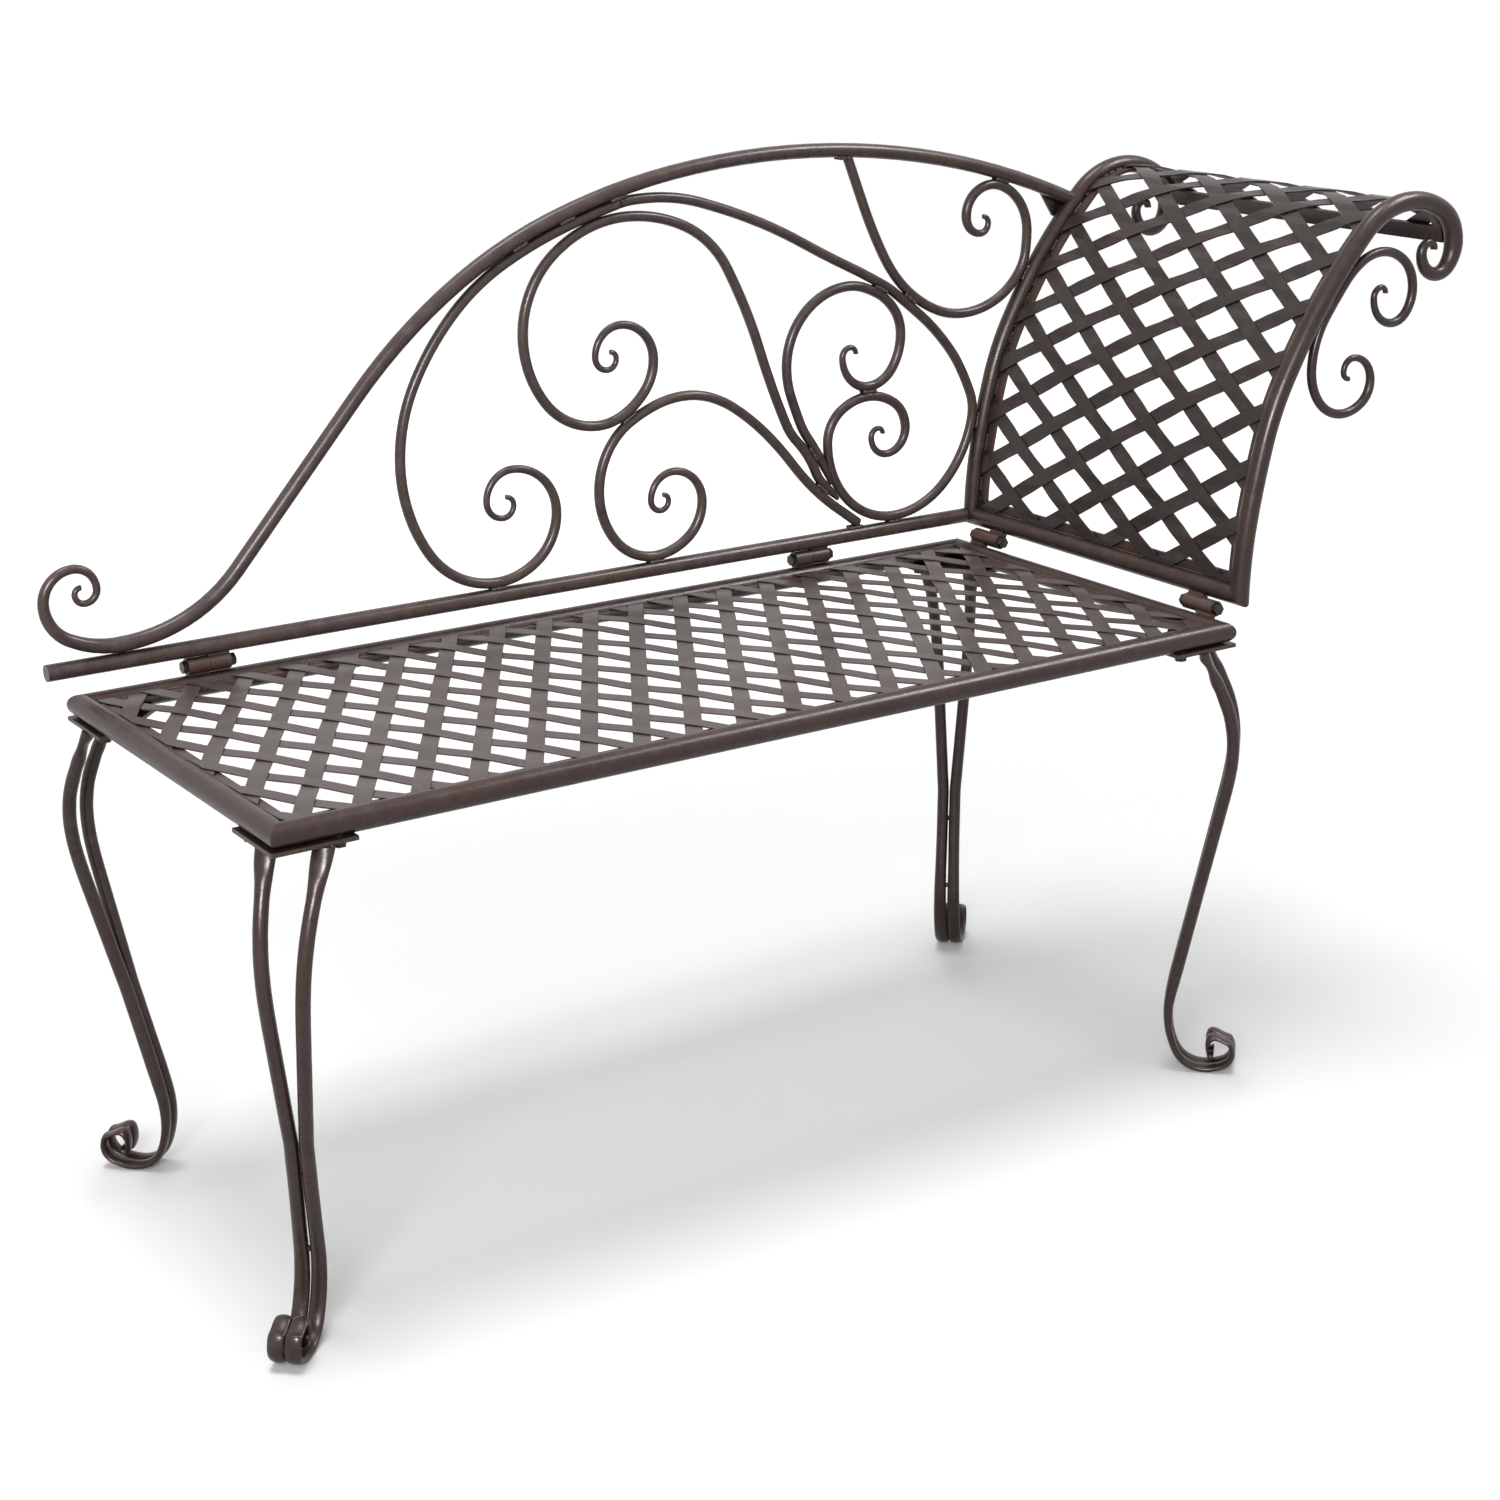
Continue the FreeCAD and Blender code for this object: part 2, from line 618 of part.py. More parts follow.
def back_scrolls():
    upper_lower = touching(585.6, 151.6, 30, rod_r)
    long_middle = touching(882.0, 246.3, -28, rod_r)
    long_right = touching(918.2, 233.4, -38, rod_r)
    long_over = touching(868.4, 144.7, 0, rod_r)
    upper_middle = touching(799.1, 89.8, -57, rod_r)
    lower_upper = touching(810.6, 52.3, -42, rod_r)

    left = Path(*under_arch(576.6, rod_r, 180))
    left.to(*under_arch(510.6, rod_r, 180))
    left.to(*back_point(406.9, 270.4, -135))
    left.to(*back_point(343.8, 134.2, -90))
    left.to(*on_bottom_rail(439, rod_r, 0))
    left.to(*back_point(504.5, 72.1, 90))
    left.curl(1, 46.0, 28.0, 17.0, 11.5, 8.0)
    scroll_node("back_left_scroll", left, taper=190.0)

    upper = Path(*back_away(lower_upper[0]))
    upper.to(*back_away(upper_middle[1]))
    upper.to(*back_point(768.1, 122.8, 115))
    upper.to(*back_point(736.3, 202.3, 109))
    upper.to(*back_point(700.2, 282.4, 119))
    upper.to(*back_point(589.1, 340.1, 180))
    upper.to(*back_point(474.7, 238.3, -90))
    upper.to(*back_point(553.1, 147.7, 0))
    upper.to(*upper_lower[0])
    upper.to(*back_point(615.2, 204.3, 90))
    upper.curl(1, 36.0, 28.0, 13.0, 10.0, 6.5)
    scroll_node("back_upper_scroll", upper, taper=160.0)

    lower = Path(*on_bottom_rail(855.6, rod_r, 144))
    lower.to(*back_away(lower_upper[1]))
    lower.to(*back_point(774.9, 82.8, 129))
    lower.to(*back_point(707.3, 146.2, 146))
    lower.to(*back_point(649.2, 165.2, 180))
    lower.to(*back_away(upper_lower[1]))
    lower.to(*back_point(551.7, 82.1, -90))
    lower.to(*on_bottom_rail(613.2, rod_r, 0))
    lower.to(*back_point(667.9, 60.1, 90))
    lower.curl(1, 33.0, 25.5, 11.0, 9.0, 6.0)
    scroll_node("back_lower_scroll", lower, taper=145.0)

    long = Path(*under_arch(578.4, rod_r))
    long.to(*back_point(612.2, 355.5, 0))
    long.to(*back_point(727.3, 327.4, -21.5))
    long.to(*back_point(847.4, 269.7, -25))
    long.to(*long_middle[0])
    long.to(*long_right[1])
    long.to(*back_point(955.3, 195.0, -46))
    long.to(*back_point(984.7, 157.4, -60))
    long.to(*back_away(beside_head_rail(99, rod_r, 1)))
    long.to(*on_bottom_rail(901.6, rod_r, 180))
    long.to(*back_point(818.3, 97.8, 90))
    long.to(*long_over[1])
    long.to(*back_point(915.5, 102.2, -90))
    long.curl(-1, 24.0, 19.0, 8.5, 6.0)
    scroll_node("back_long_scroll", long, taper=95.0)

    middle = Path(*back_point(807.5, 86.0, 121))
    middle.to(*back_away(upper_middle[0]))
    middle.to(*back_point(784.6, 122.8, 113))
    middle.to(*back_point(768.8, 179.3, 90))
    middle.to(*back_point(843.4, 252.4, 0))
    middle.to(*long_middle[1])
    middle.to(*back_point(908.5, 198.3, -90))
    middle.to(*back_away(long_over[0]))
    middle.curl(-1, 32.0, 9.5, 7.0)
    scroll_node("back_middle_scroll", middle, taper=70.0)

    right_start = back_point(840.3, 381.4, -68)
    right = Path(*right_start)
    right.to(*back_point(887.0, 277.5, -60))
    right.to(*long_right[0])
    right.to(*back_point(987.6, 211.9, 0))
    right.to(*beside_head_rail(243, rod_r, 1))
    right.to(*back_point(1069.7, 287.4, 90))
    right.to(*under_arch(1035.6, rod_r, 180))
    right.to(*back_point(990.1, 309.4, -90))
    right.curl(1, 18.5, 10.0, 6.5)
    scroll_node("back_right_scroll", right, taper=55.0)
    at = arch_path.where(right_start[0], 0)
    keep_clear = pipe(arch_path, on_plane(back_y), at - 3 * rod_r, at + 3 * rod_r, arch_r + weld_gap)
    nodes["back_right_scroll"] = one_solid(nodes["back_right_scroll"].cut(keep_clear))


def tie_point():
    """Where the tie bolt crosses the rear side rail of the headrest."""
    return head_path.pose(head_path.where(head_z + tie_bolt_height, 1))


def tie_bolt_hole():
    x, z, heading = tie_point()
    return bar(V(x, head_y, z), V(x, head_y + head_tube, z), (rivet_nut_diameter + weld_gap) / 2)


def tie_plate():
    """A plate behind the arch's end, bolted to a rivet nut in the rear side rail of the headrest."""
    x, z, heading = tie_point()
    front = max(back_y + arch_r, head_y + head_r) + weld_gap
    corner_x, corner_z, corner_heading = arch_path.pose(arch_path.length - tie_plate_reach)
    points = [V(corner_x, front, corner_z)] + [V(x + dx, front, z + dz) for dx, dz in tie_plate_edge]
    plate = Part.Face(Part.makePolygon(points + points[:1])).extrude(V(0, tie_plate_thickness, 0))
    radius = (bolt_diameter + bolt_clearance) / 2
    nodes["back_tie_plate"] = plate.cut(bar(V(x, front, z), V(x, front + tie_plate_thickness, z), radius))
    behind = front + tie_plate_thickness
    inner_end = head_y + head_r - rivet_nut_length
    nodes["tie_bolt"] = bolt(V(x, behind, z), V(0, -1, 0), behind - inner_end)
    nodes["tie_rivet_nut"] = rivet_nut(V(x, head_y + head_r, z), V(0, -1, 0))


def head_bracket():
    """A scroll rod outside the front side rail, with a curl at both ends."""
    run_start = beside_head_rail(259, bracket_r, -1)
    run_end_pose = beside_head_rail(290, bracket_r, -1)
    up = Path(*run_start)
    up.to(*run_end_pose)
    up.to(*head_point(160, 305, 0))
    up.to(*head_point(204, 266, -90))
    up.to(*head_point(179, 237, 180))
    up.curl(-1, 26.0, 9.0, 6.0)
    down = Path(*back_away(run_start))
    down.to(*head_point(77, 204, -90))
    down.to(*head_point(121, 157.5, 0))
    down.to(*head_point(155, 185, 90))
    down.curl(1, 24.0, 12.0, 7.0)
    place = on_plane(-head_y)
    upper = curled_bar(up, place, bracket_r, up.length - bracket_taper, scroll_tip / 2)
    lower = curled_bar(down, place, bracket_r, down.length - bracket_taper, scroll_tip / 2)
    nodes["head_front_bracket"] = one_solid(upper.fuse(lower))


def head_strips():
    last = int(2 * head_path.length / head_pitch_along + 2 * head_y / head_pitch_across) + 2
    for name, lean in (("head_strips_rising", -1), ("head_strips_falling", 1)):
        strips = []
        for number in range(-last, last + 1):
            strips += head_strip(number, lean)
        nodes[name] = Part.makeCompound(strips)


# Knuckles

def knuckle(centre, along, rail_point, rail_radius, start):
    """A barrel with a web to the rail that carries it. Start is its near end from the pair's middle."""
    toward = rail_point - centre
    toward = toward - along * toward.dot(along)
    height = toward.Length
    toward = toward.normalize()
    base = centre + along * start
    barrel = bar(base, base + along * knuckle_length, knuckle_diameter / 2)
    web = Part.makeBox(knuckle_length, web_width, height, V(0, -web_width / 2, 0))
    side = toward.cross(along)
    web.Placement = FreeCAD.Placement(base, FreeCAD.Rotation(along, side, toward, "XZY"))
    axis = rail_point + along * (base - rail_point).dot(along)
    rail = bar(axis - along * knuckle_length, axis + along * 2 * knuckle_length, rail_radius + weld_gap)
    bore = bar(base, base + along * knuckle_length, (bolt_diameter + bolt_clearance) / 2)
    return one_solid(barrel.fuse(web).cut(rail).cut(bore))


def between(first, first_radius, second, second_radius):
    """The middle of the free gap between two parallel tubes."""
    away = (second - first).normalize()
    gap = (second - first).Length - first_radius - second_radius
    return first + away * (first_radius + gap / 2)


def knuckles():
    bolts = []
    nuts = []
    seat_start = -knuckle_length - knuckle_play / 2
    panel_start = knuckle_play / 2
    pairs = []
    for place, x in (("left", back_left + back_knuckle_inset_left),
                     ("right", back_right - back_knuckle_inset_right)):
        seat_point = V(x, side_y, seat_height)
        panel_point = V(x, back_y, back_z)
        pairs.append(("seat_back_knuckle_" + place, "back_knuckle_" + place, V(1, 0, 0), seat_point,
                      panel_point, back_r))
    for place, side in (("front", -1), ("rear", 1)):
        y = side * (head_y - head_knuckle_inset)
        seat_point = V(end_x, y, seat_height)
        panel_point = V(head_x, y, head_z)
        pairs.append(("seat_head_knuckle_" + place, "head_knuckle_" + place, V(0, -side, 0), seat_point,
                      panel_point, head_r))
    for seat_name, panel_name, along, seat_point, panel_point, panel_radius in pairs:
        centre = between(seat_point, seat_r, panel_point, panel_radius)
        nodes[seat_name] = knuckle(centre, along, seat_point, seat_r, seat_start)
        nodes[panel_name] = knuckle(centre, along, panel_point, panel_radius, panel_start)
        head_base = centre + along * (seat_start - weld_gap)
        nut_base = centre + along * (panel_start + knuckle_length + weld_gap)
        shank = (nut_base - head_base).Length + nut_height + bolt_past_nut
        bolts.append(bolt(head_base, along, shank))
        nuts.append(nut(nut_base, along))
    nodes["knuckle_bolts"] = Part.makeCompound(bolts)
    nodes["knuckle_nuts"] = Part.makeCompound(nuts)


# Legs

plate_top = seat_height - seat_r - weld_gap / 2
plate_low = plate_top - plate_thickness
leg_top = plate_low - weld_gap


def leg_profile():
    """Centre line of a leg in its diagonal plane: outward distance from the corner, and height."""
    stretch = leg_top / leg_drawing

    def drawn(out, height, heading):
        return out, height * stretch, stretched(heading, 1.0, stretch)

    path = Path(*drawn(-15, 430, -63))
    path.to(*drawn(16.5, 335, -90))
    path.to(*drawn(11, 288, -101.5))
    path.to(*drawn(-27.5, 100, -101.5))
    path.to(*drawn(-33.5, 58, -90))
    path.to(foot_low, foot_thickness / 2 - foot_flat, 0)
    path.to(30, 21, 90)
    path.curl(1, 15.0, 9.3, 6.5)
    return path


leg_path = leg_profile()
foot_start = leg_path.where(ankle_height, 1)
foot_lowest = leg_path.where(foot_low, 0, foot_start)


def smooth(value, low, high):
    """Rises smoothly from 0 at low to 1 at high."""
    share = max(0.0, min(1.0, (value - low) / (high - low)))
    return share * share * (3 - 2 * share)


def leg_spread(distance):
    """Half the distance between the two rods of a leg."""
    height = leg_path.pose(distance)[1]
    if distance > foot_start:
        height = 0.0
    above_waist = max(0.0, (height - leg_waist_height) / (leg_top - leg_waist_height))
    spread = leg_waist_spread + (leg_top_spread - leg_waist_spread) * above_waist
    foot_spread = foot_width / 2 + weld_gap
    return spread + (foot_spread - leg_waist_spread) * (1 - smooth(height, ankle_height, leg_part_height))


def leg_section(distance):
    """Thickness and width of a rod: flat at the plate, round in the middle, flat at the foot."""
    flat_top = 1 - smooth(distance, *leg_top_flat)
    flat_foot = smooth(distance, foot_start - foot_fade[0], foot_start + foot_fade[1])
    tip = smooth(distance, foot_lowest, leg_path.length)
    thickness = leg_rod - (leg_rod - leg_top_thickness) * flat_top - (leg_rod - foot_thickness) * flat_foot
    thickness -= (foot_thickness - foot_tip_thickness) * tip
    width = leg_rod + (leg_top_width - leg_rod) * flat_top + (foot_width - leg_rod) * flat_foot
    return thickness, width


def leg_point(corner, bend, distance, side):
    """A point of a leg's rod, and the leg's outward and sideways directions. Side 0 is between the rods."""
    outward = V(math.copysign(1, corner.x), math.copysign(1, corner.y), 0).normalize()
    sideways = V(-outward.y, outward.x, 0)
    along_rail, foot_out, foot_across = bend
    out, height, heading = leg_path.pose(distance)
    drop = 1 - height / leg_top
    base = V(corner.x - math.copysign(along_rail, corner.x), corner.y, height)
    across = foot_across * drop + side * leg_spread(distance)
    return base + outward * (out + foot_out * drop) + sideways * across, outward, sideways


def oval(centre, wide, thin):
    """An oval with two half axes, the first at least as long as the second."""
    wire = Part.Wire(Part.Ellipse(V(0, 0, 0), wide.Length, min(wide.Length, thin.Length)).toShape())
    wire.Placement = FreeCAD.Placement(centre, FreeCAD.Rotation(wide, thin, wide.cross(thin), "XYZ"))
    return wire


def leg_rod_solid(corner, bend, side):
    sections = []
    for index in range(leg_sections + 1):
        distance = leg_path.length * index / leg_sections
        centre, outward, sideways = leg_point(corner, bend, distance, side)
        heading = leg_path.pose(distance)[2]
        thickness, width = leg_section(distance)
        normal = outward * -math.sin(heading) + V(0, 0, math.cos(heading))
        sections.append(oval(centre, sideways * (width / 2), normal * (thickness / 2)))
    rod = Part.makeLoft(sections, True, False)
    rod = rod.cut(half_space(V(0, 0, 0), V(0, 0, -1)))
    return rod.cut(half_space(V(0, 0, leg_top), V(0, 0, 1))).Solids[0]


def leg_plate(corner):
    inward_x = -math.copysign(1, corner.x)
    inward_y = -math.copysign(1, corner.y)
    outline = [(-seat_r, -seat_r), (plate_arm, -seat_r), (plate_arm, seat_r), (seat_r, plate_arm),
               (-seat_r, plate_arm)]
    points = [V(corner.x + inward_x * a, corner.y + inward_y * b, plate_low) for a, b in outline]
    plate = Part.Face(Part.makePolygon(points + points[:1])).extrude(V(0, 0, plate_thickness))
    up = V(0, 0, plate_thickness)
    for point in leg_bolt_points(corner):
        low = point + V(0, 0, plate_low)
        plate = plate.cut(bar(low, low + up, (bolt_diameter + bolt_clearance) / 2))
    return plate


def leg_bolt_points(corner):
    """Where the two bolts of a corner's plate stand, on the floor plan."""
    return (V(corner.x - math.copysign(leg_bolt_inset, corner.x), corner.y, 0),
            V(corner.x, corner.y - math.copysign(leg_bolt_inset, corner.y), 0))


def legs():
    bolts = []
    washers = []
    rivet_nuts = []
    pegs = []
    up = V(0, 0, 1)
    corners = {
        "front_left": V(-end_x, -side_y, 0),
        "front_right": V(end_x, -side_y, 0),
        "rear_left": V(-end_x, side_y, 0),
        "rear_right": V(end_x, side_y, 0),
    }
    for place, corner in corners.items():
        bend = leg_bends[place]
        nodes["leg_plate_" + place] = leg_plate(corner)
        for hand, side in (("a", -1), ("b", 1)):
            nodes["leg_rod_" + place + "_" + hand] = leg_rod_solid(corner, bend, side)
        for height in peg_heights:
            at = leg_path.where(height, 1)
            centre, outward, sideways = leg_point(corner, bend, at, 0)
            reach = sideways * (leg_spread(at) - leg_section(at)[1] / 2 - weld_gap / 2)
            pegs.append(bar(centre - reach, centre + reach, peg_diameter / 2))
        for point in leg_bolt_points(corner):
            base = point + V(0, 0, plate_low - washer_thickness)
            washer_top = point + V(0, 0, plate_low)
            bolts.append(bolt(base, up, plate_top + rivet_nut_length - base.z))
            hole = bar(base, washer_top, (bolt_diameter + bolt_clearance) / 2)
            washers.append(bar(base, washer_top, washer_diameter / 2).cut(hole))
            rivet_nuts.append(rivet_nut(point + V(0, 0, plate_top + weld_gap), up))
    nodes["leg_bolts"] = Part.makeCompound(bolts)
    nodes["leg_washers"] = Part.makeCompound(washers)
    nodes["leg_rivet_nuts"] = Part.makeCompound(rivet_nuts)
    nodes["leg_pegs"] = Part.makeCompound(pegs)


seat_frame()
seat_border()
seat_strips()
back_frame()
back_scrolls()
tie_plate()
head_rails()
head_border()
head_strips()
head_bracket()
knuckles()
legs()

# The origin is under the middle of the whole, which only these pieces reach the sides of
whole = FreeCAD.BoundBox()
for name, shape in nodes.items():
    if name in ("back_bottom_rail", "head_front_rail") or name.startswith("leg_rod"):
        whole.add(shape.optimalBoundingBox(False, False))
to_middle = V(-whole.Center.x, -whole.Center.y, 0)

os.makedirs("parts", exist_ok=True)
for name, shape in nodes.items():
    shape.translate(to_middle)
    shape.exportStep("parts/" + name + ".step")
print(len(nodes), "nodes, moved by", round(to_middle.x, 3), round(to_middle.y, 3))
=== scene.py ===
import bmesh
import bpy
import math
from mathutils import Matrix, Vector
from mathutils.bvhtree import BVHTree


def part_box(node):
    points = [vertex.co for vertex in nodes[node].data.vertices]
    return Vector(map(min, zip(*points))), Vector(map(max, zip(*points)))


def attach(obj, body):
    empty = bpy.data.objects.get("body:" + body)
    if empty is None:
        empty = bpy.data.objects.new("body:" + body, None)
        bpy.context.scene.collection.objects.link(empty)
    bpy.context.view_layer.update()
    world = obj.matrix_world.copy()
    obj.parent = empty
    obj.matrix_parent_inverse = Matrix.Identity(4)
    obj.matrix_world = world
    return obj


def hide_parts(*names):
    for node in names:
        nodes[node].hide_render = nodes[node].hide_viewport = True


# The chaise longue as it was packed, one named mesh for each piece, in metres.
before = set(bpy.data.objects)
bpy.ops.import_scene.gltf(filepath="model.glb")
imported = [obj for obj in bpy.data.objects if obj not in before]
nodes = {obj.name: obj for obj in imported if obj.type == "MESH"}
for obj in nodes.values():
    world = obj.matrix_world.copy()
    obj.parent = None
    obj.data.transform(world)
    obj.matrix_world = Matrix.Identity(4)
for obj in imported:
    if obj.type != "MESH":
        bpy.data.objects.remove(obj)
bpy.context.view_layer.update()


# Seat rails: four round steel tubes, 20 mm thick, mitred and welded into a rectangle.
# The whole frame is sprayed with an antique-brown powder coat, baked to a satin skin
# and wiped by hand, so that warmer and greyer brown lie over it in soft clouds.
def linear(code):
    """A colour written as sRGB hex, as the linear values that a shader takes."""
    values = [int(code[i:i + 2], 16) / 255 for i in (1, 3, 5)]
    return [v / 12.92 if v <= 0.04045 else ((v + 0.055) / 1.055) ** 2.4 for v in values] + [1.0]


def add(tree, kind, settings=None, **links):
    """One node with its settings. A link is a socket of another node, a node for its first output,
    or a value for the input. An input is named with _ for each space, or by its number, as i0."""
    node = tree.nodes.new(kind)
    for name, value in (settings or {}).items():
        setattr(node, name, value)
    for name, value in links.items():
        key = int(name[1:]) if name[0] == "i" and name[1:].isdigit() else name.replace("_", " ")
        if isinstance(value, bpy.types.Node):
            value = value.outputs[0]
        if isinstance(value, bpy.types.NodeSocket):
            tree.links.new(value, node.inputs[key])
        else:
            node.inputs[key].default_value = value
    return node


def antique_paint(name, base, warm, wiped, roughness):
    """Powder coat on steel: a satin skin with 60 mm clouds of warm brown, 14 mm smears where it was wiped
    greyer, and 2 mm grit. In hollows, up to 10 mm from the next piece, it is darkened as painted shade.
    Its orange peel is about 1 mm, drawn at 2.5 mm so that it shows."""
    painted_shade_brown = "#1d1513"
    made = bpy.data.materials.new(name)
    made.use_nodes = True
    tree = made.node_tree
    shader = tree.nodes["Principled BSDF"]
    shader.inputs["IOR"].default_value = 1.5
    shader.inputs["Specular IOR Level"].default_value = 0.32
    place = add(tree, "ShaderNodeTexCoord").outputs["Object"]
    clouds = add(tree, "ShaderNodeTexNoise", Vector=place, Scale=1 / 0.060, Detail=3.0, Roughness=0.55)
    smears = add(tree, "ShaderNodeTexNoise", Vector=place, Scale=1 / 0.014, Detail=4.0, Roughness=0.6)
    grit = add(tree, "ShaderNodeTexNoise", Vector=place, Scale=1 / 0.002, Detail=2.0, Roughness=0.5)
    peel = add(tree, "ShaderNodeTexNoise", Vector=place, Scale=1 / 0.0025, Detail=1.0, Roughness=0.4)
    # Painted shade: within 10 mm of other pieces the colour is darkened towards a dark brown.
    openness = add(tree, "ShaderNodeAmbientOcclusion", {"samples": 6}, Distance=0.010).outputs["AO"]
    warmed = add(tree, "ShaderNodeMapRange", Value=clouds, From_Min=0.40, From_Max=0.66)
    smeared = add(tree, "ShaderNodeMapRange", Value=smears, From_Min=0.50, From_Max=0.78)
    gritty = add(tree, "ShaderNodeMapRange", Value=grit, From_Min=0.62, From_Max=0.80, To_Max=0.35)
    painted_shade_share = add(tree, "ShaderNodeMapRange", Value=openness, From_Min=0.40, From_Max=0.95, To_Min=0.85,
                   To_Max=0.0)
    colour = linear(base)
    for share, over in ((warmed, warm), (smeared, wiped), (gritty, wiped), (painted_shade_share, painted_shade_brown)):
        colour = add(tree, "ShaderNodeMix", {"data_type": "RGBA"}, i0=share, i6=colour,
                     i7=linear(over)).outputs[2]
    tree.links.new(colour, shader.inputs["Base Color"])
    dulled = add(tree, "ShaderNodeMapRange", Value=smears, From_Min=0.3, From_Max=0.7,
                 To_Min=roughness - 0.05, To_Max=roughness + 0.08)
    tree.links.new(dulled.outputs["Result"], shader.inputs["Roughness"])
    skin = add(tree, "ShaderNodeBump", Height=peel, Strength=0.18, Distance=0.0003)
    tree.links.new(skin.outputs["Normal"], shader.inputs["Normal"])
    return made


def finish_with(material, *names):
    """Gives CAD pieces a material."""
    for name in names:
        mesh = nodes[name].data
        mesh.materials.clear()
        mesh.materials.append(material)


tube_paint = antique_paint("powder_coat_on_tube", "#42312d", "#4d3933", "#4e4543", 0.30)
finish_with(tube_paint, *[n for n in nodes if n.startswith("seat_") and n.endswith("_rail")])

# Border bars: flat steel bar, welded inside the tubes of seat and headrest to carry the strips' ends.
# The spray lies thicker in the corner between bar and tube, so the bars stay browner and duller.
bar_paint = antique_paint("powder_coat_on_bar", "#513f3a", "#61483f", "#605551", 0.38)
finish_with(bar_paint, *[n for n in nodes if n.endswith("_border")])

# Woven seat: flat steel strips, 15 mm wide, laid over and under each other in two directions and
# welded by their ends to the border bars. They are sprayed with the frame; their colours are drawn lighter
# and greyer than the tubes' as painted sheen of the light on the flat seat.
strip_width = 0.015
strip_thickness = 0.0012
strip_edge = 0.0003                    # the slit edge is broken by this much
strip_wave = 0.62 * strip_thickness    # up and down, so that two strips are just clear where they cross
strip_drawn_length = 0.500             # before its ends are cut along the rails
strip_division = 0.003
strips_each_way = 17                   # on either side of the first one, some past the ends of the seat
rising = (math.radians(59.0), 0.0133, 0.050515)      # angle from the long rails, first place, spacing
falling = (math.radians(120.5), 0.0362, 0.043057)    # along the seat's middle line

front_low, front_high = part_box("seat_front_border")
rear_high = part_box("seat_rear_border")[1]
opening_low = Vector((front_low.x, front_low.y, 0))
opening_high = Vector((front_high.x, rear_high.y, 0))
weave_middle = (opening_low + opening_high) / 2
weave_middle.z = front_high.z + strip_wave + strip_thickness / 2


def inputs_of(tree, **kinds):
    """Named inputs of a Geometry Nodes tree, and its input and output nodes."""
    for name, kind in kinds.items():
        tree.interface.new_socket(name=name.replace("_", " "), in_out="INPUT",
                                  socket_type="NodeSocket" + kind)
    tree.interface.new_socket(name="Geometry", in_out="OUTPUT", socket_type="NodeSocketGeometry")
    return tree.nodes.new("NodeGroupInput").outputs, tree.nodes.new("NodeGroupOutput")


def weaving_tree():
    """One family of strips: lines at an angle, waved by the strips that they cross, and given a section.
    A place times a family's numbering, less its first number, is whole on a strip's middle line."""
    tree = bpy.data.node_groups.new("woven_strips", "GeometryNodeTree")
    given, result = inputs_of(
        tree, Geometry="Geometry", Count="Int", Start="Vector", Step="Vector", Reach="Vector",
        Own_numbering="Vector", Own_first="Float", Crossing_numbering="Vector", Crossing_first="Float",
        Width="Float", Thickness="Float", Edge="Float", Lift="Float", Division="Float", Middle="Vector",
        Paint="Material")
    row = add(tree, "GeometryNodeMeshLine", Count=given["Count"], Start_Location=given["Start"],
              Offset=given["Step"])
    back = add(tree, "ShaderNodeVectorMath", {"operation": "SCALE"}, Vector=given["Reach"], Scale=-1.0)
    line = add(tree, "GeometryNodeCurvePrimitiveLine", Start=back, End=given["Reach"])
    lines = add(tree, "GeometryNodeInstanceOnPoints", Points=row, Instance=line)
    curves = add(tree, "GeometryNodeRealizeInstances", Geometry=lines)
    divided = add(tree, "GeometryNodeResampleCurve", {"mode": "LENGTH"}, Curve=curves,
                  Length=given["Division"])
    place = add(tree, "GeometryNodeInputPosition")
    numbers = {}
    for family in ("Own", "Crossing"):
        counted = add(tree, "ShaderNodeVectorMath", {"operation": "DOT_PRODUCT"}, i0=place,
                      i1=given[family + " numbering"]).outputs["Value"]
        numbers[family] = add(tree, "ShaderNodeMath", {"operation": "SUBTRACT"}, i0=counted,
                              i1=given[family + " first"])
    own = add(tree, "ShaderNodeMath", {"operation": "ROUND"}, i0=numbers["Own"])
    both = add(tree, "ShaderNodeMath", {"operation": "ADD"}, i0=own, i1=numbers["Crossing"])
    turn = add(tree, "ShaderNodeMath", {"operation": "MULTIPLY"}, i0=both, i1=math.pi)
    wave = add(tree, "ShaderNodeMath", {"operation": "COSINE"}, i0=turn)
    rise = add(tree, "ShaderNodeMath", {"operation": "MULTIPLY"}, i0=wave, i1=given["Lift"])
    lift = add(tree, "ShaderNodeCombineXYZ", Z=rise)
    waved = add(tree, "GeometryNodeSetPosition", Geometry=divided, Offset=lift)
    level = add(tree, "GeometryNodeSetCurveNormal", {"mode": "Z_UP"}, Curve=waved)
    flat = add(tree, "GeometryNodeCurvePrimitiveQuadrilateral", Width=given["Width"],
               Height=given["Thickness"])
    section = add(tree, "GeometryNodeFilletCurve", {"mode": "POLY"}, Curve=flat, Count=1,
                  Radius=given["Edge"])
    strips = add(tree, "GeometryNodeCurveToMesh", Curve=level, Profile_Curve=section, Fill_Caps=True)
    placed = add(tree, "GeometryNodeTransform", Geometry=strips, Translation=given["Middle"])
    real = add(tree, "GeometryNodeRealizeInstances", Geometry=placed)
    painted = add(tree, "GeometryNodeSetMaterial", Geometry=real, Material=given["Paint"])
    tree.links.new(painted.outputs["Geometry"], result.inputs["Geometry"])
    return tree


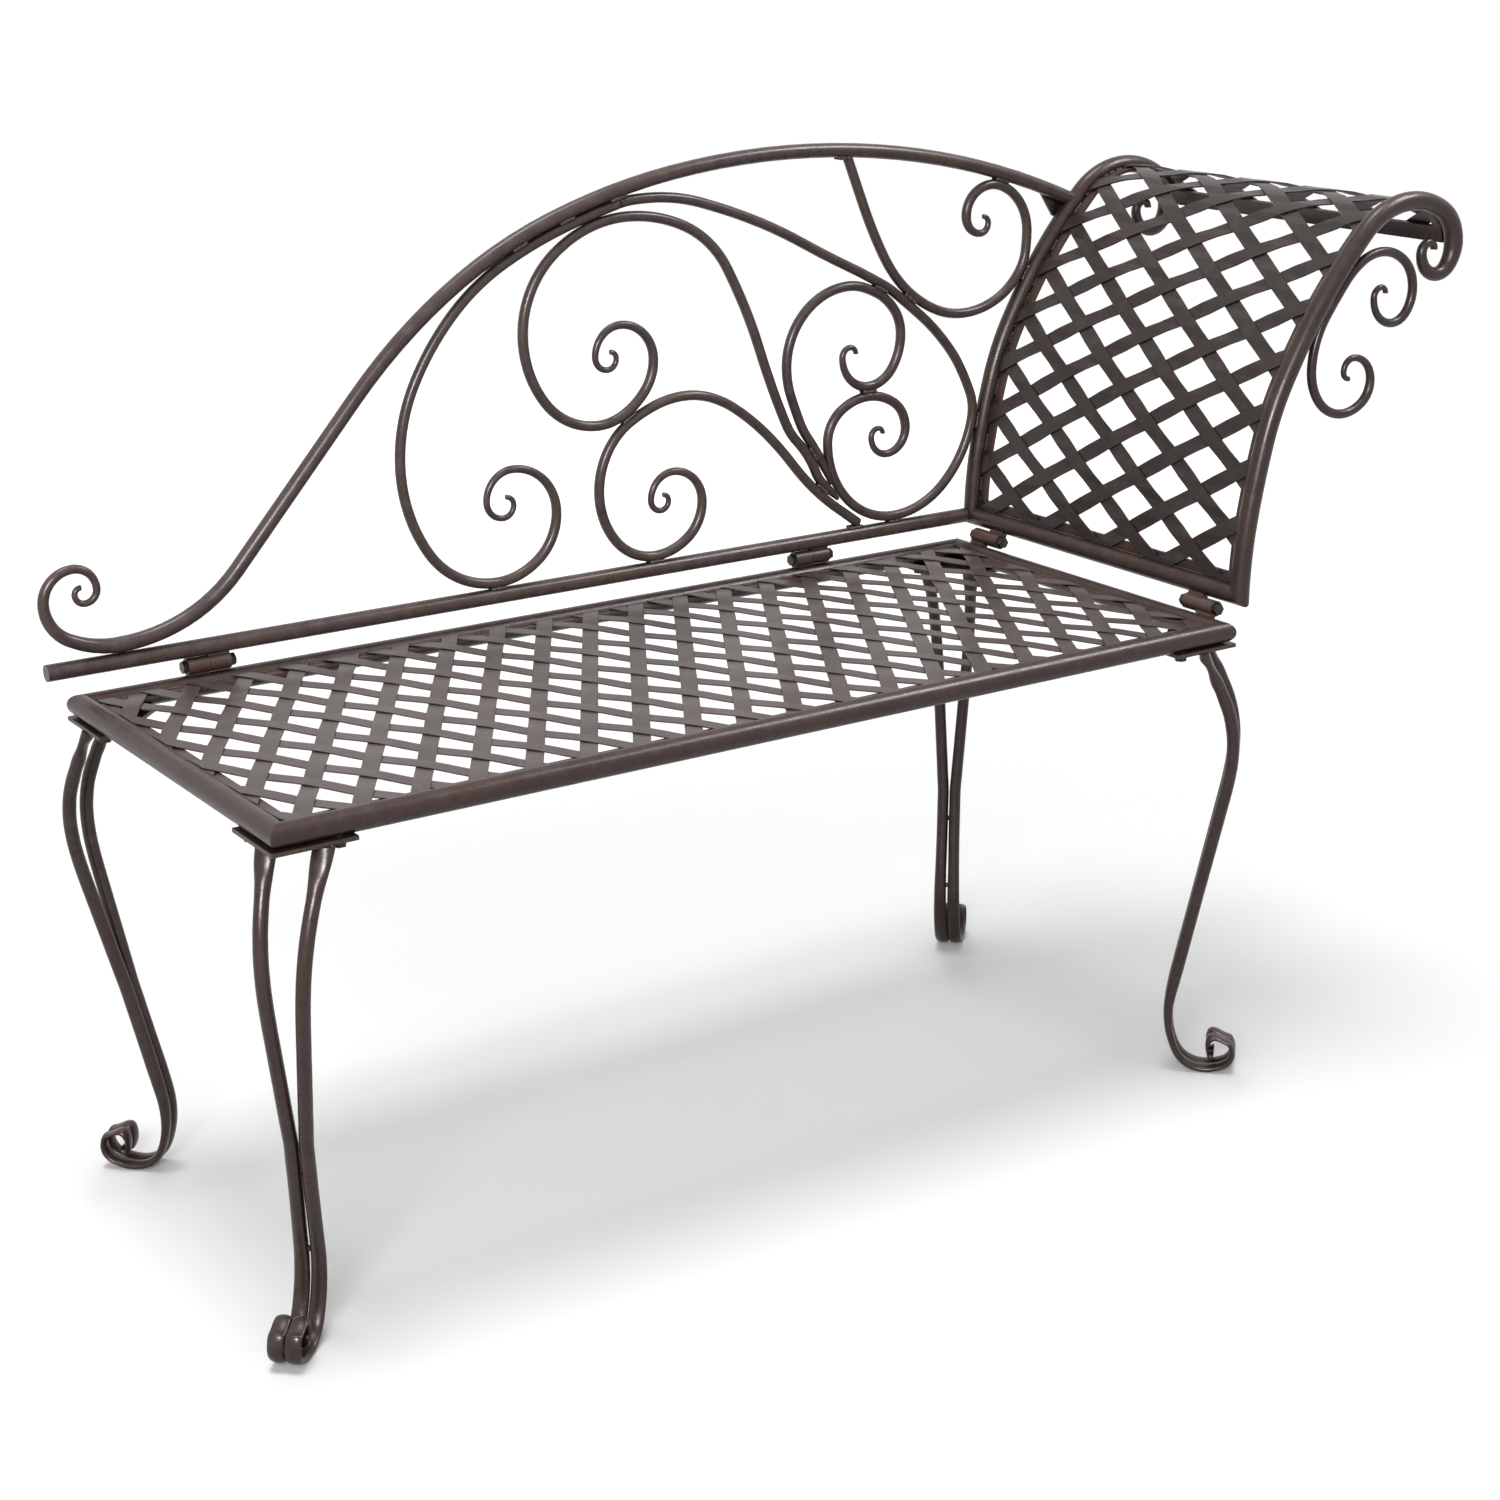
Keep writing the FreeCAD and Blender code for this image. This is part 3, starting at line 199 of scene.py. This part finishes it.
def grown(name, tree, values, points=()):
    """A plain mesh made by a Geometry Nodes tree from its named values, and from points if it has any."""
    seed_mesh = bpy.data.meshes.new(name)
    seed_mesh.from_pydata(list(points), [], [])
    piece = bpy.data.objects.new(name, seed_mesh)
    bpy.context.scene.collection.objects.link(piece)
    growth = piece.modifiers.new("growth", "NODES")
    growth.node_group = tree
    for socket in tree.interface.items_tree:
        if socket.in_out == "INPUT" and socket.name in values:
            growth[socket.identifier] = values[socket.name]
    mesh = bpy.data.meshes.new_from_object(piece.evaluated_get(bpy.context.evaluated_depsgraph_get()))
    piece.modifiers.remove(growth)
    piece.data = mesh
    mesh.name = name
    bpy.data.meshes.remove(seed_mesh)
    return piece


def cut_to_opening(mesh):
    """Shears the strips off along the rails and closes their ends."""
    shape = bmesh.new()
    shape.from_mesh(mesh)
    for corner, outward in ((opening_low, (-1, 0, 0)), (opening_low, (0, -1, 0)),
                            (opening_high, (1, 0, 0)), (opening_high, (0, 1, 0))):
        everything = shape.verts[:] + shape.edges[:] + shape.faces[:]
        bmesh.ops.bisect_plane(shape, geom=everything, dist=1e-7, plane_co=corner, plane_no=outward,
                               clear_outer=True)
        open_edges = [e for e in shape.edges if e.is_boundary]
        bmesh.ops.holes_fill(shape, edges=open_edges, sides=0)
    bmesh.ops.recalc_face_normals(shape, faces=shape.faces[:])
    shape.to_mesh(mesh)
    shape.free()
    mesh.shade_smooth()
    mesh.set_sharp_from_angle(angle=math.radians(25))


def numbering(angle, first, spacing):
    """What a place is multiplied by to count the strips of a family, and the number of the first one."""
    return Vector((1 / spacing, -1 / (math.tan(angle) * spacing), 0)), first / spacing


# Painted sheen: these colours are lighter than the frame's, for the light that the flat strips catch.
strip_paint = antique_paint("powder_coat_on_strip_with_painted_sheen", "#504543", "#5a4b45", "#655d5b", 0.33)
weaving = weaving_tree()
for strips_name, own, crossed, lift in (("seat_strips_rising", rising, falling, 1),
                                        ("seat_strips_falling", falling, rising, -1)):
    angle, first, spacing = own
    own_numbering, own_first = numbering(*own)
    crossing_numbering, crossing_first = numbering(*crossed)
    woven = grown("woven_" + strips_name, weaving, {
        "Count": 2 * strips_each_way + 1, "Start": Vector((first - strips_each_way * spacing, 0, 0)),
        "Step": Vector((spacing, 0, 0)),
        "Reach": Vector((math.cos(angle), math.sin(angle), 0)) * strip_drawn_length / 2,
        "Own numbering": own_numbering, "Own first": own_first,
        "Crossing numbering": crossing_numbering, "Crossing first": crossing_first,
        "Width": strip_width, "Thickness": strip_thickness, "Edge": strip_edge,
        "Lift": lift * strip_wave, "Division": strip_division,
        "Middle": weave_middle, "Paint": strip_paint})
    cut_to_opening(woven.data)
    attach(woven, "root")
    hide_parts(strips_name)

# Backrest: a bottom rail and an arch of steel tube, filled with scrolls of 10 mm rod.
# The rod is bent hot, drawn out to a thin tip at each curl, and welded where it touches.
# Its paint is drawn paler than the seat's, as painted light from the front on the upright backrest.
# Painted light: paler colours than the tubes', for the front light on the backrest.
lit_rod_paint = antique_paint("powder_coat_on_rod_painted_lighter", "#574847", "#63514b", "#6a605f", 0.28)
finish_with(lit_rod_paint, "back_bottom_rail", "back_arch", "back_tie_plate")
finish_with(lit_rod_paint, *[n for n in nodes if n.endswith("_scroll")])

# Tails of two scrolls: where three rods come together above the bottom rail, the ends of the inner two
# are hammered to thin tails that wedge against the big ring, and are welded there.
rail_low, rail_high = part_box("back_bottom_rail")
rail_middle = (rail_low + rail_high) / 2
tail_routes = {    # along the rail from its left end, above its middle, and radius, in millimetres
    "back_upper_tail": ((812.9, 57.0, 5.0), (818.2, 52.2, 4.7), (824.2, 46.3, 3.8), (831.0, 39.4, 2.0)),
    "back_middle_tail": ((806.9, 87.0, 5.0), (811.6, 78.6, 4.6), (817.0, 68.0, 3.6), (823.0, 56.0, 2.0)),
}
for tail_name, route in tail_routes.items():
    tail_curve = bpy.data.curves.new(tail_name, "CURVE")
    tail_curve.dimensions = "3D"
    tail_curve.bevel_depth = 1.0    # so that the radius of each point is in metres
    tail_curve.bevel_resolution = 6
    tail_curve.use_fill_caps = True
    line = tail_curve.splines.new("NURBS")
    line.points.add(len(route) - 1)
    for point, (along, above, radius) in zip(line.points, route):
        point.co = (rail_low.x + along / 1000, rail_middle.y, rail_middle.z + above / 1000, 1.0)
        point.radius = radius / 1000
    line.order_u = 3
    line.use_endpoint_u = True
    drawn = bpy.data.objects.new(tail_name + "_curve", tail_curve)
    bpy.context.scene.collection.objects.link(drawn)
    tail_mesh = bpy.data.meshes.new_from_object(drawn.evaluated_get(bpy.context.evaluated_depsgraph_get()))
    bpy.data.objects.remove(drawn)
    tail_mesh.materials.clear()
    tail_mesh.materials.append(lit_rod_paint)
    tail_mesh.shade_smooth()
    tail = bpy.data.objects.new(tail_name, tail_mesh)
    bpy.context.scene.collection.objects.link(tail)
    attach(tail, "root")

# Headrest: two side tubes rolled over outwards, joined by a bottom rail and a top bar,
# with a bent weave of the same strips and a scroll bracket against the front side tube.
# The bent strips are drawn darker than those of the seat, as painted shade on the upright weave.
finish_with(tube_paint, "head_front_rail", "head_rear_rail", "head_bottom_rail", "head_top_bar")
finish_with(tube_paint, "head_front_bracket")
# Painted shade: the seat strips' paint, drawn darker for the lesser light on the upright strips.
shaded_bent_strip_paint = antique_paint("powder_coat_on_bent_strip_painted_shade", "#3a302e", "#433630", "#4c4542", 0.33)
finish_with(shaded_bent_strip_paint, "head_strips_rising", "head_strips_falling")

# Weld seams: short runs of weld metal in the grooves where the rods touch each other and the tubes.
# Each is a row of overlapping beads at the front and at the back, left as laid and sprayed over.
seam_pairs = (
    ("back_left_scroll", "back_arch"), ("back_left_scroll", "back_bottom_rail"),
    ("back_upper_scroll", "back_lower_scroll"), ("back_upper_scroll", "back_middle_scroll"),
    ("back_lower_scroll", "back_bottom_rail"), ("back_long_scroll", "back_arch"),
    ("back_long_scroll", "back_middle_scroll"), ("back_long_scroll", "back_right_scroll"),
    ("back_long_scroll", "back_bottom_rail"), ("back_long_scroll", "head_rear_rail"),
    ("back_right_scroll", "back_arch"), ("back_right_scroll", "head_rear_rail"),
    ("head_front_bracket", "head_front_rail"),
)
seam_reach = 0.0008      # how near two pieces are at a joint
seam_apart = 0.050       # joints nearer than this to each other are one
seam_beads = 6
bead_step = 0.0026
bead_width = 0.0046
groove_depth = 0.0030    # from where two rods touch out to the middle of a bead


def joints_between(first, second):
    """Places where two pieces touch, each with the direction in which the second one faces there."""
    mesh = nodes[second].data
    surface = BVHTree.FromPolygons([v.co for v in mesh.vertices], [p.vertices[:] for p in mesh.polygons])
    hits = [surface.find_nearest(v.co, seam_reach) for v in nodes[first].data.vertices]
    found = []
    for spot, facing, _, _ in sorted((h for h in hits if h[0]), key=lambda hit: hit[3]):
        if all((spot - other).length > seam_apart for other, _ in found):
            found.append((spot, facing))
    return found


def beading_tree():
    """Round beads on points, each stretched and turned a little differently."""
    smallest, largest = (0.85, 0.85, 0.85), (1.2, 1.1, 1.2)
    least_turn, most_turn = (-0.6, -0.6, -0.6), (0.6, 0.6, 0.6)
    tree = bpy.data.node_groups.new("weld_beads", "GeometryNodeTree")
    given, result = inputs_of(tree, Geometry="Geometry", Radius="Float", Seed="Int", Paint="Material")
    bead = add(tree, "GeometryNodeMeshUVSphere", Segments=8, Rings=5, Radius=given["Radius"])
    size = add(tree, "FunctionNodeRandomValue", {"data_type": "FLOAT_VECTOR"}, i0=smallest, i1=largest,
               Seed=given["Seed"])
    turn = add(tree, "FunctionNodeRandomValue", {"data_type": "FLOAT_VECTOR"}, i0=least_turn, i1=most_turn,
               Seed=given["Seed"])
    beads = add(tree, "GeometryNodeInstanceOnPoints", Points=given["Geometry"], Instance=bead, Rotation=turn,
                Scale=size)
    real = add(tree, "GeometryNodeRealizeInstances", Geometry=beads)
    smooth = add(tree, "GeometryNodeSetShadeSmooth", Geometry=real)
    painted = add(tree, "GeometryNodeSetMaterial", Geometry=smooth, Material=given["Paint"])
    tree.links.new(painted.outputs["Geometry"], result.inputs["Geometry"])
    return tree


bead_places = []
for first, second in seam_pairs:
    for spot, facing in joints_between(first, second):
        across = Vector((facing.x, 0, facing.z)).normalized()
        along = Vector((across.z, 0, -across.x))
        for number in range(seam_beads):
            shift = (number - (seam_beads - 1) / 2) * bead_step
            for side in (-1, 1):
                bead_places.append(spot + along * shift + Vector((0, side * groove_depth, 0)))
beading = beading_tree()
seams = grown("weld_seams", beading,
              {"Radius": bead_width / 2, "Seed": 7, "Paint": lit_rod_paint}, bead_places)
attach(seams, "root")

# Border welds: a thin knobbly run of weld metal along each border bar, in the groove beside its tube.
# It holds the bar and the ends of the strips, and it is sprayed over; its dark look in the groove is painted
# shade.
border_bead_width = 0.0034
border_bead_step = 0.0026
edge_reach = 0.0003      # points of a bar's mesh nearer than this to its edge lie on it


def beads_along(points):
    """Places for beads, evenly spaced along a line through points."""
    places = []
    for start, end in zip(points, points[1:]):
        count = max(1, round((end - start).length / border_bead_step))
        places += [start.lerp(end, number / count) for number in range(count)]
    return places


def bent_edge(name, y):
    """The edge of a bent bar beside its tube, from the foot on, along the points of its mesh there."""
    near = [v.co for v in nodes[name].data.vertices if abs(v.co.y - y) < edge_reach]
    left = [Vector(spot) for spot in {tuple(round(c, 5) for c in place) for place in near}]
    line = [min(left, key=lambda spot: spot.z)]
    left.remove(line[0])
    while left:
        line.append(min(left, key=lambda spot: (spot - line[-1]).length))
        left.remove(line[-1])
    return line


border_lines = []
for bar_name, axis, tube_side in (("seat_front_border", 1, 0), ("seat_rear_border", 1, 1),
                                  ("seat_left_border", 0, 0), ("seat_right_border", 0, 1)):
    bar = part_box(bar_name)
    start = Vector((bar[0].x, bar[0].y, bar[1].z))
    end = bar[1].copy()
    start[axis] = end[axis] = bar[tube_side][axis]
    border_lines.append([start, end])
bar_low, bar_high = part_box("head_bottom_border")
border_lines.append([bar_low, Vector((bar_low.x, bar_high.y, bar_low.z))])
border_lines.append(bent_edge("head_front_border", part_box("head_front_border")[0].y))
border_lines.append(bent_edge("head_rear_border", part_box("head_rear_border")[1].y))
border_places = [place for line in border_lines for place in beads_along(line)]
border_welds = grown("border_welds", beading,
                     {"Radius": border_bead_width / 2, "Seed": 11, "Paint": bar_paint}, border_places)
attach(border_welds, "root")

# Knuckles: short barrels of tube with a web, welded to the rails in pairs, one bolt through each pair.
# They are sprayed with the frame.
finish_with(bar_paint, *[n for n in nodes if "_knuckle" in n])

# Legs: pairs of steel rod, flattened at the top against a corner plate and scrolled at the foot,
# held together by short pegs. They are sprayed with the frame.
finish_with(tube_paint, *[n for n in nodes if n.startswith("leg_rod") or n == "leg_pegs"])
finish_with(bar_paint, *[n for n in nodes if n.startswith("leg_plate")])

# Bolts, nuts, washers and rivet nuts: stock steel ones, with a black oxide that hides the bare metal.
# They hold the legs to the seat tubes, join the knuckles in pairs, and tie the backrest to the headrest.
fastener_black = antique_paint("blackened_steel", "#2a2625", "#332b28", "#5b5654", 0.32)
finish_with(fastener_black, *[n for n in nodes if any(w in n for w in ("bolt", "nut", "washer"))])


# Studio: a pale floor that stays white but keeps the shadow, and soft light from above.
# The floor glows by itself, less near the object, where its shadow has to show.
# One lamp only fills the back, and two only shine on the paint.
floor_size = 200.0                         # so wide that its edge doesn't show
floor_bounce = "#606060"                   # the grey that it throws on the object
floor_white = "#ffffff"                    # what the camera sees
near_distance, far_distance = 0.7, 3.0     # from the middle of the object
glow_near, glow_far = 0.07, 0.27
sky_fill, sky_white = 0.20, 1.0            # the light that falls on the object, and what the camera sees
lit_place = (0, 0, 0.45)                   # where the panels point, in the middle of the seat


def shown_rays(tree):
    """1 for rays from the camera, also those mirrored or let through, and 0 for rays that gather light."""
    path = add(tree, "ShaderNodeLightPath").outputs
    mirrored = add(tree, "ShaderNodeMath", {"operation": "MAXIMUM"}, i0=path["Is Camera Ray"],
                   i1=path["Is Glossy Ray"])
    return add(tree, "ShaderNodeMath", {"operation": "MAXIMUM"}, i0=mirrored,
               i1=path["Is Transmission Ray"])


def lamp_from(name, kind, place, target, **settings):
    """A studio lamp that points at a place."""
    lamp = bpy.data.lights.new(name, kind)
    for setting, value in settings.items():
        setattr(lamp, setting, value)
    holder = bpy.data.objects.new(name, lamp)
    holder.location = place
    holder.rotation_euler = (Vector(target) - Vector(place)).to_track_quat("-Z", "Y").to_euler()
    bpy.context.scene.collection.objects.link(holder)
    return holder


floor_mesh = bpy.data.meshes.new("floor")
half = floor_size / 2
floor_corners = [(-half, -half, 0), (half, -half, 0), (half, half, 0), (-half, half, 0)]
floor_mesh.from_pydata(floor_corners, [], [(0, 1, 2, 3)])
floor = bpy.data.objects.new("floor", floor_mesh)
bpy.context.scene.collection.objects.link(floor)
floor_paper = bpy.data.materials.new("floor_paper")
floor_paper.use_nodes = True
floor_tree = floor_paper.node_tree
floor_shader = floor_tree.nodes["Principled BSDF"]
floor_shader.inputs["Roughness"].default_value = 0.9
floor_shader.inputs["Specular IOR Level"].default_value = 0.0
floor_shader.inputs["Emission Color"].default_value = (1, 1, 1, 1)
floor_shown = shown_rays(floor_tree)
floor_colour = add(floor_tree, "ShaderNodeMix", {"data_type": "RGBA"}, i0=floor_shown,
                   i6=linear(floor_bounce), i7=linear(floor_white))
floor_tree.links.new(floor_colour.outputs[2], floor_shader.inputs["Base Color"])
floor_place = add(floor_tree, "ShaderNodeTexCoord").outputs["Object"]
from_middle = add(floor_tree, "ShaderNodeVectorMath", {"operation": "LENGTH"}, i0=floor_place)
glow = add(floor_tree, "ShaderNodeMapRange", Value=from_middle.outputs["Value"], From_Min=near_distance,
           From_Max=far_distance, To_Min=glow_near, To_Max=glow_far)
shown_glow = add(floor_tree, "ShaderNodeMath", {"operation": "MULTIPLY"}, i0=floor_shown, i1=glow)
floor_tree.links.new(shown_glow.outputs["Value"], floor_shader.inputs["Emission Strength"])
floor_mesh.materials.append(floor_paper)

world = bpy.data.worlds.new("studio")
world.use_nodes = True
bpy.context.scene.world = world
sky = world.node_tree
sky_level = add(sky, "ShaderNodeMapRange", Value=shown_rays(sky), To_Min=sky_fill, To_Max=sky_white)
sky.nodes["Background"].inputs["Color"].default_value = (1, 1, 1, 1)
sky.links.new(sky_level.outputs["Result"], sky.nodes["Background"].inputs["Strength"])

lamp_from("overhead", "SUN", (-0.1, 0.0, 3.0), (0, 0, 0), energy=1.7, angle=math.radians(22))
lamp_from("left_panel", "AREA", (-2.4, -2.6, 2.2), lit_place, size=1.2, energy=60)
rear_fill = lamp_from("rear_fill", "AREA", (1.6, 3.2, 1.8), lit_place, size=2.0, energy=30)
rear_fill.visible_glossy = False
for shine_name, place, size, watts in (("left_shine", (-2.1, -2.4, 1.8), 0.8, 110),
                                       ("right_shine", (1.9, -0.9, 2.8), 0.9, 60)):
    shine = lamp_from(shine_name, "AREA", place, lit_place, size=size, energy=watts)
    shine.visible_diffuse = False

# Camera: at the photograph's place, measured from the middle of the seat on the floor.
# Its place, angles and lens were fitted to the seat, the backrest and the headrest.
seat_low, seat_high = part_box("seat_front_rail")
rear_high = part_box("seat_rear_rail")[1]
seat_middle = Vector(((seat_low.x + seat_high.x) / 2, (seat_low.y + rear_high.y) / 2, 0))
camera_place = seat_middle + Vector((-1.2487, -1.9845, 1.1398))
heading = math.radians(33.978)
tilt = math.radians(18.292)
roll = math.radians(-0.450)
forward = Vector((math.sin(heading) * math.cos(tilt), math.cos(heading) * math.cos(tilt), -math.sin(tilt)))
right = Vector((math.cos(heading), -math.sin(heading), 0))
above = right.cross(forward)
camera_right = right * math.cos(roll) + above * math.sin(roll)
camera_above = above * math.cos(roll) - right * math.sin(roll)
camera_data = bpy.data.cameras.new("camera")
camera_data.sensor_width = 36.0
camera_data.lens = 65.41
camera_data.shift_x = -0.0046
camera_data.shift_y = 0.0003
camera = bpy.data.objects.new("camera", camera_data)
turn = Matrix((camera_right, camera_above, -forward)).transposed().to_4x4()
camera.matrix_world = Matrix.Translation(camera_place) @ turn
bpy.context.scene.collection.objects.link(camera)
bpy.context.scene.camera = camera
bpy.context.scene.view_settings.view_transform = "Standard"
